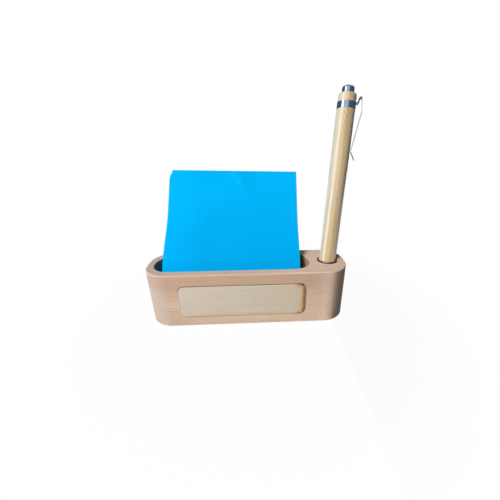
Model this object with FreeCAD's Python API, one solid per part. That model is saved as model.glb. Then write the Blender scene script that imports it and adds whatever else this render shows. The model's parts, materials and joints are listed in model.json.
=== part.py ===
import FreeCAD
import Part
import math
import os

# Desk holder cut from one beech block: a milled pocket with a leaning pad of memo slips, a bored
# hole with a leaning click ballpoint pen, and a thin wooden name plate let into the front face.
# Millimetres. +X along the block towards the pen, +Y to the back, +Z up. The origin is the
# centre of the block's underside.

# Block
block_height = 37.0
block_corner_radius = 15.0
block_edge_ease = 0.8

# Memo pocket, milled from the top
pocket_length = 101.4
pocket_width = 25.8
pocket_depth = 24.5
pocket_corner_radius = 11.5
pocket_left_wall = 4.6
pocket_side_wall = 5.6
rim_ease = 0.4

# Pen hole, bored from the top
pen_hole_diameter = 13.7
pen_hole_depth = 27.0
pen_hole_land = 5.75
pen_hole_end_wall = 4.55

# Name plate in its recess
plate_length = 80.0
plate_height = 22.0
plate_thickness = 2.0
plate_corner_radius = 3.6
plate_left_margin = 21.6
plate_bottom_margin = 6.7
plate_film_thickness = 0.15
recess_depth = 2.0
recess_tight_gap = 0.1
recess_open_gap = 0.7

# Memo slips
slip_width = 90.0
slip_thickness = 0.2
slip_gap = 0.1
pad_thickness = 4.5
pad_turn = 1.25
seat_gap = 0.15

# Pen: outside
barrel_diameter = 11.2
barrel_length = 94.3
barrel_end_ease = 0.3
cone_length = 23.5
cone_shoulder = 1.6
cone_groove = 0.3
cone_mouth_diameter = 2.6
cone_mid_bulge = 0.45
ring_diameter = 11.4
ring_height = 3.8
collar_diameter = 10.9
collar_height = 4.9
collar_lip = 1.2
collar_edge_radius = 0.6
pen_lean_turn = 22.0
clip_turn = -20.0

# Pen: inserts
barrel_bore = 7.2
nose_insert_length = 10.0
spigot_diameter = 5.8
spigot_length = 8.0
spigot_clearance = 0.03
top_insert_diameter = 9.0
top_insert_wall = 0.4
top_insert_depth = 14.0
top_insert_lip = 0.8

# Pen: click mechanism
button_diameter = 7.4
button_exposed = 4.3
button_travel = 4.5
button_wall = 0.7
button_flange = 0.8
button_dome = 1.0
running_clearance = 0.08
stop_clearance = 0.1
collar_clearance = 0.16
cam_sleeve_length = 13.0
cam_bore = 7.0
cam_core_diameter = 5.3
rib_count = 4
rib_angle = 30.0
rib_depth = 0.65
rib_length = 9.0
rib_slope = 25.0
lug_play_angle = 3.0
lug_height = 3.0
tooth_count = 8
tooth_height = 0.8

# Pen: refill and spring
refill_diameter = 3.0
refill_bore = 2.0
refill_tip_diameter = 2.3
refill_tip_taper = 3.4
refill_tip_length = 14.0
refill_shank_length = 4.5
point_out = 3.0
ball_diameter = 0.7
ball_clearance = 0.02
socket_depth = 4.0
spring_bore = 4.8
spring_seat_height = 5.0
spring_wire = 0.45
spring_clearance = 0.2
spring_turns = 8
stop_ear_height = 18.0
stop_ear_thickness = 0.8
stop_ear_angle = 50.0

# Pocket clip
clip_thickness = 0.5
clip_width = 3.6
clip_play = 0.12
clip_reach = 4.2
clip_peak_rise = 6.0
clip_shoulder_drop = 3.0
clip_touch_drop = 27.3
clip_kick_drop = 5.0
clip_kick_out = 2.7
clip_foot_bend = 0.5
clip_peak_bend = 0.75
clip_shoulder_bend = 15.0
clip_touch_bend = 1.5

# Where the pieces stand
block_length = pocket_left_wall + pocket_length + pen_hole_land + pen_hole_diameter + pen_hole_end_wall
block_width = pocket_width + 2 * pocket_side_wall
pocket_centre_x = pocket_left_wall + (pocket_length - block_length) / 2
pocket_floor = block_height - pocket_depth
pen_hole_radius = pen_hole_diameter / 2
pen_hole_x = pocket_centre_x + pocket_length / 2 + pen_hole_land + pen_hole_radius
plate_centre_x = plate_left_margin + (plate_length - block_length) / 2
plate_centre_z = plate_bottom_margin + plate_height / 2
barrel_radius = barrel_diameter / 2
shoulder_base = cone_length - cone_shoulder
cone_middle = (cone_mouth_diameter / 2 + barrel_radius) / 2 + cone_mid_bulge
barrel_top = cone_length + barrel_length
ring_top = barrel_top + ring_height
collar_top = ring_top + collar_height
button_top = collar_top + button_exposed
top_insert_top = collar_top - collar_lip
top_insert_bore = top_insert_diameter - 2 * top_insert_wall
flange_top = top_insert_top - top_insert_lip - button_travel - stop_clearance
button_bottom = flange_top - button_flange
cam_sleeve_bottom = barrel_top - top_insert_depth + stop_clearance
cam_sleeve_top = cam_sleeve_bottom + cam_sleeve_length
rib_bottom = cam_sleeve_top - rib_length
level_tolerance = 1e-6
X_AXIS, Y_AXIS, Z_AXIS = FreeCAD.Vector(1, 0, 0), FreeCAD.Vector(0, 1, 0), FreeCAD.Vector(0, 0, 1)
ORIGIN = FreeCAD.Vector(0, 0, 0)


def tube(outer_diameter, bottom, top, bore=0.0):
    """A round bar along Z, bored through where a bore is given."""
    bar = Part.makeCylinder(outer_diameter / 2, top - bottom, FreeCAD.Vector(0, 0, bottom))
    if bore:
        bar = bar.cut(Part.makeCylinder(bore / 2, top - bottom, FreeCAD.Vector(0, 0, bottom)))
    return bar


def turned(profile):
    """A solid turned about Z from (radius, height) corners; a corner given three values is the
    middle of an arc between its neighbours."""
    edges = []
    count = len(profile)
    spots = [FreeCAD.Vector(corner[0], 0, corner[1]) for corner in profile]
    for index, corner in enumerate(profile):
        following = (index + 1) % count
        if len(corner) == 3:
            edges.append(Part.Arc(spots[index - 1], spots[index], spots[following]).toShape())
        elif len(profile[following]) == 2:
            edges.append(Part.makeLine(spots[index], spots[following]))
    return Part.Face(Part.Wire(edges)).revolve(ORIGIN, Z_AXIS, 360)


def rounded_block(length, width, height, radius):
    """An upright block centred on Z whose four vertical edges are rounded."""
    block = Part.makeBox(length, width, height, FreeCAD.Vector(-length / 2, -width / 2, 0))
    upright = [edge for edge in block.Edges if abs(edge.tangentAt(edge.FirstParameter).z) > 0.9]
    return block.makeFillet(radius, upright)


def is_level(shape, height):
    """Whether an edge or face lies flat at one height."""
    box = shape.BoundBox
    return max(abs(box.ZMin - height), abs(box.ZMax - height)) < level_tolerance


def level_edges(shape, height):
    """The edges of a shape that lie flat at one height."""
    return [edge for edge in shape.Edges if is_level(edge, height)]


def sector(inner_radius, outer_radius, bottom, top, angle, middle):
    """A block that spans an angle about Z, centred on the direction given in degrees."""
    rim = [(inner_radius, bottom), (outer_radius, bottom), (outer_radius, top), (inner_radius, top)]
    corners = [FreeCAD.Vector(radius, 0, height) for radius, height in rim]
    face = Part.Face(Part.makePolygon(corners + corners[:1]))
    face.rotate(ORIGIN, Z_AXIS, middle - angle / 2)
    return face.revolve(ORIGIN, Z_AXIS, angle)


def sloped_below(shape, height, slope, middle, span):
    """Cuts the lower end of a rib or lug to a slope that climbs round the axis."""
    half = span / 2
    below = Part.makeBox(span, span, span, FreeCAD.Vector(0, -half, -span))
    below.rotate(ORIGIN, X_AXIS, slope)
    below.translate(FreeCAD.Vector(0, 0, height))
    below.rotate(ORIGIN, Z_AXIS, middle)
    return shape.cut(below)


# Holder block --------------------------------------------------------------------------------

def pocket_reach(distance):
    """How far the pocket reaches to the front or back at a distance along X from its centre."""
    into_corner = distance - (pocket_length / 2 - pocket_corner_radius)
    if into_corner <= 0:
        return pocket_width / 2
    rise = math.sqrt(max(pocket_corner_radius ** 2 - into_corner ** 2, 0.0))
    return pocket_width / 2 - pocket_corner_radius + rise


def holder_body():
    block = rounded_block(block_length, block_width, block_height, block_corner_radius)
    block = block.makeFillet(block_edge_ease, level_edges(block, 0) + level_edges(block, block_height))
    pocket = rounded_block(pocket_length, pocket_width, pocket_depth, pocket_corner_radius)
    pocket.translate(FreeCAD.Vector(pocket_centre_x, 0, pocket_floor))
    mouth = FreeCAD.Vector(pen_hole_x, 0, block_height - pen_hole_depth)
    block = block.cut(pocket).cut(Part.makeCylinder(pen_hole_radius, pen_hole_depth, mouth))
    top = next(face for face in block.Faces if is_level(face, block_height))
    mouths = [wire for wire in top.Wires if not wire.isSame(top.OuterWire)]
    block = block.makeChamfer(rim_ease, [edge for wire in mouths for edge in wire.Edges])
    return block.cut(recess())


def front_panel(length, height, thickness, radius, back_y):
    """A rounded plate standing in the front face, its back at back_y."""
    panel = rounded_block(length, height, thickness, radius)
    panel.rotate(ORIGIN, X_AXIS, 90)
    panel.translate(FreeCAD.Vector(plate_centre_x, back_y, plate_centre_z))
    return panel


def recess():
    spare = recess_tight_gap + recess_open_gap
    shift = (recess_open_gap - recess_tight_gap) / 2
    floor_y = recess_depth - block_width / 2
    hollow = front_panel(plate_length + spare, plate_height + spare, recess_depth + plate_thickness,
                         plate_corner_radius + recess_tight_gap, floor_y)
    hollow.translate(FreeCAD.Vector(shift, 0, shift))
    return hollow


def nameplate_film():
    inset = 2 * recess_open_gap
    return front_panel(plate_length - inset, plate_height - inset, plate_film_thickness,
                       plate_corner_radius, recess_depth - block_width / 2)


def nameplate():
    back_y = recess_depth - block_width / 2 - plate_film_thickness
    return front_panel(plate_length, plate_height, plate_thickness, plate_corner_radius, back_y)


# Memo slips ----------------------------------------------------------------------------------

def pad_lean():
    """The lean at which the pad stands on the pocket floor with its foot against the front of
    the pocket and its back on the back rim, found by halving."""
    turn = math.radians(pad_turn)
    reach = pocket_reach(slip_width / 2 * (math.cos(turn) + math.sin(turn))) - seat_gap
    deep = pad_thickness + slip_gap + slip_thickness
    upright, flat = 0.0, math.radians(80)
    while flat - upright > 1e-9:
        lean = (upright + flat) / 2
        run = (pocket_depth - seat_gap) * math.tan(lean) + deep * math.cos(lean)
        if run < 2 * reach:
            upright = lean
        else:
            flat = lean
    return upright, reach


def leaning_slips(front, thickness):
    """A sheet or stack whose front lies that far in front of the pad's back face."""
    slips = Part.makeBox(slip_width, thickness, slip_width, FreeCAD.Vector(-slip_width / 2, -front, 0))
    slips.rotate(ORIGIN, Y_AXIS, pad_turn)
    turn = math.radians(pad_turn)
    slips.translate(FreeCAD.Vector(-slip_width / 2 * math.sin(turn), 0, slip_width / 2 * math.sin(turn)))
    lean, reach = pad_lean()
    slips.rotate(ORIGIN, X_AXIS, -math.degrees(lean))
    foot_y = reach - (pocket_depth - seat_gap) * math.tan(lean)
    slips.translate(FreeCAD.Vector(pocket_centre_x, foot_y, pocket_floor + seat_gap))
    return slips


def slip_stack():
    return leaning_slips(pad_thickness, pad_thickness)


def front_slip():
    return leaning_slips(pad_thickness + slip_gap + slip_thickness, slip_thickness)


# Pen, built upright with its cone's mouth at the origin ------------------------------------------

def nose_cone():
    spigot_top = cone_length + spigot_length
    mouth = cone_mouth_diameter / 2
    groove = cone_shoulder / 4
    front_hole = refill_tip_diameter / 2 + running_clearance
    return turned([
        (front_hole, 0), (mouth, 0), (cone_middle, shoulder_base / 2, "arc"), (barrel_radius, shoulder_base),
        (barrel_radius, shoulder_base + groove), (barrel_radius - cone_groove, shoulder_base + groove),
        (barrel_radius - cone_groove, shoulder_base + 2 * groove),
        (barrel_radius, shoulder_base + 2 * groove), (barrel_radius, cone_length),
        (spigot_diameter / 2, cone_length), (spigot_diameter / 2, spigot_top),
        (spring_bore / 2, spigot_top), (spring_bore / 2, spring_seat_height),
        (front_hole, spring_seat_height)])


def nose_insert():
    bore = spigot_diameter + 2 * spigot_clearance
    return tube(barrel_bore, cone_length, cone_length + nose_insert_length, bore)


def pen_barrel():
    barrel = tube(barrel_diameter, cone_length, barrel_top)
    barrel = barrel.makeFillet(barrel_end_ease, level_edges(barrel, cone_length))
    counterbore = tube(top_insert_diameter, barrel_top - top_insert_depth, barrel_top)
    return barrel.cut(tube(barrel_bore, cone_length, barrel_top)).cut(counterbore)


def top_insert():
    outer, inner = top_insert_diameter / 2, top_insert_bore / 2
    guide = button_diameter / 2 + running_clearance
    bottom, lip = barrel_top - top_insert_depth, top_insert_top - top_insert_lip
    return turned([(inner, bottom), (outer, bottom), (outer, top_insert_top), (guide, top_insert_top),
                   (guide, lip), (inner, lip)])


def clip_ring():
    ring = tube(ring_diameter, barrel_top, ring_top, top_insert_diameter)
    height = clip_thickness + 2 * clip_play
    width = clip_width + 2 * clip_play
    notch = Part.makeBox(ring_diameter, width, height, FreeCAD.Vector(0, -width / 2, ring_top - height))
    return ring.cut(notch)


def pen_collar():
    collar = tube(collar_diameter, ring_top, collar_top)
    collar = collar.makeFillet(collar_edge_radius, level_edges(collar, collar_top))
    guide = button_diameter + 2 * collar_clearance
    collar = collar.cut(tube(top_insert_diameter, ring_top, top_insert_top))
    return collar.cut(tube(guide, ring_top, collar_top))


def rounded_path(corners, radii):
    """Edges of a path in the XZ plane whose inner corners are rounded."""
    edges, start = [], corners[0]
    for before, corner, after, radius in zip(corners, corners[1:], corners[2:], radii):
        back, ahead = (before - corner).normalize(), (after - corner).normalize()
        half = back.getAngle(ahead) / 2
        inset = radius / math.tan(half)
        middle = (back + ahead).normalize() * (radius / math.sin(half) - radius)
        entry, leave = corner + back * inset, corner + ahead * inset
        edges += [Part.makeLine(start, entry), Part.Arc(entry, corner + middle, leave).toShape()]
        start = leave
    return edges + [Part.makeLine(start, corners[-1])]


def offset_corners(corners, distance):
    """The corners of the same path moved to its left by a distance."""
    moved = []
    for index, corner in enumerate(corners):
        arms = [corners[i + 1] - corners[i] for i in (index - 1, index) if 0 <= i < len(corners) - 1]
        normals = [FreeCAD.Vector(-arm.z, 0, arm.x).normalize() for arm in arms]
        bisector = (normals[0] + normals[-1]).normalize()
        moved.append(corner + bisector * (distance / bisector.dot(normals[0])))
    return moved


def clip_corners():
    """Corners of the clip's middle line: tab, foot, peak, shoulder, touch and kicked-out end."""
    tab_z = ring_top - clip_play - clip_thickness / 2
    shoulder_x = barrel_radius + clip_reach
    touch_x = barrel_radius + clip_thickness / 2 + clip_play / 2
    touch_z = tab_z - clip_touch_drop
    peak_x = (barrel_radius + shoulder_x) / 2 + clip_thickness
    return [FreeCAD.Vector(x, 0, z) for x, z in (
        (top_insert_diameter / 2 + clip_play + clip_thickness / 4, tab_z),
        (ring_diameter / 2 + 2 * clip_thickness, tab_z),
        (peak_x, tab_z + clip_peak_rise),
        (shoulder_x, tab_z - clip_shoulder_drop),
        (touch_x, touch_z),
        (touch_x + clip_kick_out, touch_z - clip_kick_drop))]


def pocket_clip():
    corners = clip_corners()
    half = clip_thickness / 2
    bends = (clip_foot_bend, clip_peak_bend, clip_shoulder_bend, clip_touch_bend)
    turns = (1, -1, -1, 1)
    left = rounded_path(offset_corners(corners, half),
                        [bend - half * turn for bend, turn in zip(bends, turns)])
    right = rounded_path(offset_corners(corners, -half),
                         [bend + half * turn for bend, turn in zip(bends, turns)])
    ends = [Part.makeLine(left[0].Vertexes[0].Point, right[0].Vertexes[0].Point),
            Part.makeLine(left[-1].Vertexes[-1].Point, right[-1].Vertexes[-1].Point)]
    outline = Part.Wire(Part.__sortEdges__(left + right + ends))
    strip = Part.Face(outline).extrude(FreeCAD.Vector(0, clip_width, 0))
    strip.translate(FreeCAD.Vector(0, -clip_width / 2, 0))
    return strip


def push_button():
    outer, inner = button_diameter / 2, button_diameter / 2 - button_wall
    flange = top_insert_bore / 2 - running_clearance
    dome_base = button_top - button_dome
    crown = outer - button_dome
    bulge = button_dome * math.sqrt(0.5)
    return turned([
        (inner, button_bottom), (flange, button_bottom), (flange, flange_top), (outer, flange_top),
        (outer, dome_base), (crown + bulge, dome_base + bulge, "arc"), (crown, button_top),
        (0, button_top), (0, button_top - button_wall), (inner, button_top - button_wall)])


def cam_sleeve():
    sleeve = tube(top_insert_bore, cam_sleeve_bottom, cam_sleeve_top, cam_bore)
    inner, outer = cam_bore / 2 - rib_depth, cam_bore / 2
    for number in range(rib_count):
        middle = number * 360 / rib_count
        rib = sector(inner, outer + stop_clearance, rib_bottom, cam_sleeve_top, rib_angle, middle)
        sleeve = sleeve.fuse(sloped_below(rib, rib_bottom + rib_depth, rib_slope, middle, cam_bore))
    return sleeve.removeSplitter()


def groove_lugs(bottom, top):
    """Lugs that fill the grooves between the sleeve's ribs, less their play."""
    angle = 360 / rib_count - rib_angle - 2 * lug_play_angle
    lugs = []
    for number in range(rib_count):
        middle = (number + 0.5) * 360 / rib_count
        lugs.append(sector(cam_core_diameter / 2 - rib_depth, cam_bore / 2 - running_clearance,
                           bottom, top, angle, middle))
    return lugs


def cam_rotor():
    crown_top = rib_bottom + tooth_height
    rotor = tube(cam_core_diameter, cam_sleeve_bottom - socket_depth, crown_top)
    half = math.pi * cam_core_diameter / tooth_count / 2
    valley = [(0, rib_bottom), (half, crown_top + stop_clearance), (-half, crown_top + stop_clearance)]
    corners = [FreeCAD.Vector(-cam_bore, y, z) for y, z in valley]
    notch = Part.Face(Part.makePolygon(corners + corners[:1])).extrude(FreeCAD.Vector(2 * cam_bore, 0, 0))
    for number in range(tooth_count // 2):
        rotor = rotor.cut(notch.copy().rotate(ORIGIN, Z_AXIS, (number + 0.5) * 360 / tooth_count))
    lug_top = rib_bottom - stop_clearance
    for lug in groove_lugs(lug_top - lug_height, lug_top):
        rotor = rotor.fuse(lug)
    socket_bottom = cam_sleeve_bottom - socket_depth
    socket = tube(refill_diameter + 2 * running_clearance, socket_bottom, socket_bottom + socket_depth)
    return rotor.cut(socket).removeSplitter()


def cam_plunger():
    body = tube(cam_core_diameter, rib_bottom - stop_clearance, button_bottom)
    stem = tube(button_diameter - 2 * button_wall, button_bottom, button_top - button_wall)
    lug_bottom = rib_bottom + tooth_height + stop_clearance
    plunger = body.fuse(stem)
    for lug in groove_lugs(lug_bottom, lug_bottom + lug_height):
        plunger = plunger.fuse(lug)
    meshing = cam_rotor()
    meshing.translate(FreeCAD.Vector(0, 0, running_clearance))
    return plunger.removeSplitter().cut(meshing)


def refill_tube():
    bottom = refill_tip_length - refill_shank_length - point_out
    top = cam_sleeve_bottom - stop_clearance
    barrel = tube(refill_diameter, bottom, top, refill_bore)
    ear_reach = spring_bore / 2 - spring_clearance
    for side in (0, 180):
        barrel = barrel.fuse(sector(refill_diameter / 2 - spring_clearance, ear_reach, stop_ear_height,
                                    stop_ear_height + stop_ear_thickness, stop_ear_angle, side))
    return barrel.removeSplitter()


def writing_ball():
    return Part.makeSphere(ball_diameter / 2, FreeCAD.Vector(0, 0, ball_diameter / 2 - point_out))


def refill_tip():
    ball_z = ball_diameter / 2 - point_out
    mouth = ball_diameter / 2 + ball_clearance
    body, shank = refill_tip_diameter / 2, refill_bore / 2
    shoulder = refill_tip_length - refill_shank_length - point_out
    tip = turned([(0, ball_z), (mouth + ball_clearance, ball_z), (body, ball_z + refill_tip_taper),
                  (body, shoulder), (shank, shoulder), (shank, shoulder + refill_shank_length),
                  (0, shoulder + refill_shank_length)])
    return tip.cut(Part.makeSphere(mouth, FreeCAD.Vector(0, 0, ball_z)))


def refill_spring():
    """Coils built from half rings that tilt to either side in turn, each running on from the last."""
    coil_radius = spring_bore / 2 - spring_clearance - spring_wire / 2
    low = spring_seat_height + spring_wire / 2 + stop_clearance
    high = stop_ear_height - spring_wire / 2 - stop_clearance
    rise = (high - low) / spring_turns / 2
    halves = []
    for number in range(2 * spring_turns):
        side = 1 - 2 * (number % 2)
        start = FreeCAD.Vector(side * coil_radius, 0, low + number * rise)
        centre = FreeCAD.Vector(0, 0, start.z + rise / 2)
        axis = FreeCAD.Vector(side * rise, 0, 2 * coil_radius)
        wire_end = Part.Face(Part.Wire(Part.makeCircle(spring_wire / 2, start, Y_AXIS)))
        halves.append(wire_end.revolve(centre, axis, 180))
    return halves[0].multiFuse(halves[1:])


def wall_reach(lean, station, radius):
    """How far the leaning cone reaches towards the hole's far wall at one station."""
    rim_offset = pen_hole_radius - seat_gap - barrel_radius / math.cos(lean)
    below = (pen_hole_depth - seat_gap) / math.cos(lean) - point_out - station
    return below * math.sin(lean) - rim_offset + radius / math.cos(lean)


def pen_lean():
    """The lean at which the pen stands on its ball with the barrel on the hole's rim and the
    cone against the far wall, found by halving."""
    upright, flat = 0.0, math.radians(60)
    while flat - upright > 1e-9:
        lean = (upright + flat) / 2
        reach = max(wall_reach(lean, 0, cone_mouth_diameter / 2),
                    wall_reach(lean, shoulder_base / 2, cone_middle))
        if reach < pen_hole_radius - seat_gap:
            upright = lean
        else:
            flat = lean
    return upright


def pen_placement():
    """Carries the upright pen to its leaning place in the hole."""
    lean = pen_lean()
    turn = math.radians(pen_lean_turn)
    towards = FreeCAD.Vector(math.sin(turn), math.cos(turn), 0)
    axis = towards * math.sin(lean) + Z_AXIS * math.cos(lean)
    offset = pen_hole_radius - seat_gap - barrel_radius / math.cos(lean)
    at_rim = FreeCAD.Vector(pen_hole_x, 0, block_height) + towards * offset
    below = (pen_hole_depth - seat_gap) / math.cos(lean) - point_out
    tilt = FreeCAD.Rotation(Z_AXIS, axis)
    return FreeCAD.Placement(at_rim - axis * below, tilt * FreeCAD.Rotation(Z_AXIS, clip_turn))


def main():
    os.makedirs("parts", exist_ok=True)
    standing = (holder_body, nameplate_film, nameplate, slip_stack, front_slip)
    pen_pieces = (nose_cone, nose_insert, pen_barrel, top_insert, clip_ring, pen_collar, pocket_clip,
                  push_button, cam_sleeve, cam_rotor, cam_plunger, refill_tube, refill_tip,
                  writing_ball, refill_spring)
    place = pen_placement().toMatrix()
    for piece in standing:
        piece().exportStep("parts/" + piece.__name__ + ".step")
    for piece in pen_pieces:
        piece().transformed(place, True).exportStep("parts/" + piece.__name__ + ".step")


if __name__ == "__main__":
    main()
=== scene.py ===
import json
import math
import random

import bmesh
import bpy
from mathutils import Matrix, Vector


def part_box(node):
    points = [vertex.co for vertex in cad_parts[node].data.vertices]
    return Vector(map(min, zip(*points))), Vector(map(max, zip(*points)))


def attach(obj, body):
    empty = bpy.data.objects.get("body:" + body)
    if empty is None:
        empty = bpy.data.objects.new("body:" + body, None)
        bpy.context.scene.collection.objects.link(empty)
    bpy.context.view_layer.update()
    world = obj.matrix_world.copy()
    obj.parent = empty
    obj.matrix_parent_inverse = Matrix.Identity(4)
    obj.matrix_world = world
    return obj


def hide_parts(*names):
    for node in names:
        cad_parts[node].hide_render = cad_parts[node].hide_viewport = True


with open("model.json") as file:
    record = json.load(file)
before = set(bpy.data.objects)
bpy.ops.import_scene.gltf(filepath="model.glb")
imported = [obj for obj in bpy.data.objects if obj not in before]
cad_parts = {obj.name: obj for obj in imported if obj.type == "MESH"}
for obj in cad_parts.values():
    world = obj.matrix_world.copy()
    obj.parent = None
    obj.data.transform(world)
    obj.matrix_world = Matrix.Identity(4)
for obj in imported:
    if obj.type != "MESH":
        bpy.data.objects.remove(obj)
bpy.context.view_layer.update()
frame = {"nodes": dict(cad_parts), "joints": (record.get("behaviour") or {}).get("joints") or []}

bl_info = {
    "name": "Memo and Pen Holder",
    "version": (1, 0, 0),
    "blender": (4, 5, 0),
    "location": "3D View > Sidebar > Memo Holder",
    "description": "Loose memo slips, a wooden name plate and the finishes of a desk holder",
    "category": "Object",
}

MM = 0.001
NEAR = 0.1 * MM  # Points closer together than this count as one place.

SLIP_WIDTH = 90 * MM
PAD_DEPTH = 4.5 * MM
PAD_TURN = math.radians(1.25)  # How far the pad is turned in its own plane.
BALL_OUT = 2.65 * MM  # From the mouth of the pen's nose to the centre of its ball.


# ---- Where the pad and the pen stand ----------------------------------------------------------

def joint_axis(name):
    """Unit direction of one of the holder's joints."""
    (axis,) = [joint["axis"] for joint in frame["joints"] if joint["name"] == name]
    return Vector(axis).normalized()


def pad_place():
    """The pad's own frame: X along a slip's foot, Y towards its back and Z up the slip.

    It stands at the middle of the foot of the pad's back face."""
    up_slip = joint_axis("slip_lift")
    lean = math.atan2(up_slip.y, up_slip.z)
    low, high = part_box("slip_stack")
    foot = Vector(((low.x + high.x) / 2, low.y + PAD_DEPTH * math.cos(lean), low.z))
    lift = SLIP_WIDTH / 2 * math.sin(PAD_TURN)
    return (
        Matrix.Translation(foot)
        @ Matrix.Rotation(-lean, 4, "X")
        @ Matrix.Translation((-lift, 0, lift))
        @ Matrix.Rotation(PAD_TURN, 4, "Y")
    )


def pen_place():
    """The pen's own frame: Z up the barrel from the mouth of its nose, X towards the clip."""
    up_barrel = joint_axis("pen_lift")
    away = -joint_axis("clip_flex")
    low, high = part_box("writing_ball")
    mouth = (low + high) / 2 + BALL_OUT * up_barrel
    turn = Matrix((away.cross(up_barrel), away, up_barrel)).transposed()
    return Matrix.Translation(mouth) @ turn.to_4x4()


PAD_FRAME = pad_place()
PEN_FRAME = pen_place()


# ---- Settings ---------------------------------------------------------------------------------

def length(name, description, default):
    return bpy.props.FloatProperty(
        name=name, description=description, default=default, min=0.0, unit="LENGTH", precision=5)


def colour(name, description, default):
    return bpy.props.FloatVectorProperty(
        name=name, description=description, default=default, size=3, min=0.0, max=1.0,
        subtype="COLOR")


def power(name, description, default):
    return bpy.props.FloatProperty(
        name=name, description=description, default=default, min=0.0, unit="POWER")


class SlipSettings(bpy.types.PropertyGroup):
    """Sizes of the memo slips."""

    width: length("Slip width", "Side of one square slip", SLIP_WIDTH)
    pad_depth: length("Pad depth", "Thickness of the stack behind the top slip", PAD_DEPTH)
    slip_depth: length("Slip thickness", "Thickness of the top slip", 0.2 * MM)
    sheets: bpy.props.IntProperty(
        name="Sheets", description="Sheets modelled in the stack", default=18, min=2, max=60)
    stray: length("Stray", "How far a sheet in the stack may stand out of line", 0.22 * MM)
    bow: length("Bow", "How far the lower half of the top slip swells from the stack", 6 * MM)
    pinch: length("Pinch", "Depth of the pinch below the middle of the top edge", 1.1 * MM)
    dog_ear: length("Dog ear", "Height of the knocked corner at the upper left", 5.2 * MM)


class PlateSettings(bpy.types.PropertyGroup):
    """Sizes of the name plate."""

    corner: length("Corner radius", "Radius of the plate's four corners", 3.6 * MM)
    ease: length("Edge ease", "Rounding of the plate's front edge", 0.28 * MM)
    gap: length("End gap", "How far the plate stops before the right end of its solid", 0.7 * MM)


class ColourSettings(bpy.types.PropertyGroup):
    """Colours of the finishes."""

    beech: colour("Beech", "Body colour of the block", (0.56, 0.395, 0.285))
    beech_pale: colour("Pale beech", "Light grain of the block", (0.66, 0.49, 0.37))
    paper: colour("Paper", "Colour of the memo slips", (0.0, 0.38, 0.80))
    birch: colour("Birch", "Face of the name plate", (0.545, 0.48, 0.39))
    scorch: colour("Scorch", "Burnt edge of the name plate", (0.55, 0.30, 0.10))
    bamboo: colour("Bamboo", "Body colour of the pen's barrel", (0.55, 0.42, 0.255))
    bamboo_gold: colour("Golden bamboo", "Broad streak along the barrel", (0.59, 0.37, 0.15))
    bamboo_dark: colour("Dark bamboo", "Fibres of the pen's barrel", (0.36, 0.20, 0.08))
    chrome: colour("Chrome", "Tint of the bright metal", (0.34, 0.43, 0.545))
    spring: colour("Clip", "Tint of the clip's spring metal", (0.66, 0.74, 0.80))
    brass: colour("Brass", "Tint of the threaded inserts", (0.78, 0.57, 0.25))


class StudioSettings(bpy.types.PropertyGroup):
    """Camera lens, lamp and lights."""

    lens: bpy.props.FloatProperty(
        name="Lens", description="Focal length on a 36 mm wide sensor, in millimetres",
        default=20.607, min=1.0)
    key: power("Key lamp", "Power of the lamp at the left front", 91.5)
    sky: bpy.props.FloatProperty(
        name="Sky", description="Strength of the light from all round", default=0.13, min=0.0)
    card: bpy.props.FloatProperty(
        name="Card", description="Strength of the white card that bright surfaces show",
        default=4.0, min=0.0)


class HolderSettings(bpy.types.PropertyGroup):
    """All settings of the memo and pen holder."""

    slips: bpy.props.PointerProperty(type=SlipSettings)
    plate: bpy.props.PointerProperty(type=PlateSettings)
    colours: bpy.props.PointerProperty(type=ColourSettings)
    studio: bpy.props.PointerProperty(type=StudioSettings)


# ---- Shader maths -----------------------------------------------------------------------------

class Signal:
    """One output socket of a finish, which takes part in sums as a number does."""

    def __init__(self, finish, socket):
        self.finish = finish
        self.socket = socket

    def maths(self, operation, *values):
        return self.finish.node(
            "ShaderNodeMath", {"operation": operation}, dict(enumerate(values)))

    def vector_maths(self, operation, *values):
        return self.finish.node(
            "ShaderNodeVectorMath", {"operation": operation}, dict(enumerate(values)))

    def __add__(self, other):
        return self.maths("ADD", self, other)

    __radd__ = __add__

    def __sub__(self, other):
        return self.maths("SUBTRACT", self, other)

    def __rsub__(self, other):
        return self.maths("SUBTRACT", other, self)

    def __mul__(self, other):
        return self.maths("MULTIPLY", self, other)

    __rmul__ = __mul__

    def __truediv__(self, other):
        return self.maths("DIVIDE", self, other)

    def __pow__(self, other):
        return self.maths("POWER", self, other)

    def __abs__(self):
        return self.maths("ABSOLUTE", self)

    def sine(self):
        return self.maths("SINE", self)

    def least(self, other):
        return self.maths("MINIMUM", self, other)

    def most(self, other):
        return self.maths("MAXIMUM", self, other)

    def step(self, start, end):
        """0 at the start, 1 at the end and smooth between them, whichever of the two is higher."""
        low, high = sorted((start, end))
        at_low, at_high = (0.0, 1.0) if start <= end else (1.0, 0.0)
        return self.finish.node(
            "ShaderNodeMapRange", {"interpolation_type": "SMOOTHSTEP"},
            {"Value": self, "From Min": low, "From Max": high, "To Min": at_low, "To Max": at_high})

    def part(self, axis):
        return self.finish.node("ShaderNodeSeparateXYZ", {}, {0: self}, "XYZ".index(axis))

    def stretched(self, x, y, z):
        """The place with each axis scaled, which sets a pattern's fineness along that axis."""
        return self.vector_maths("MULTIPLY", self, (x, y, z))

    def shifted(self, x, y, z):
        return self.vector_maths("ADD", self, (x, y, z))


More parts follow.
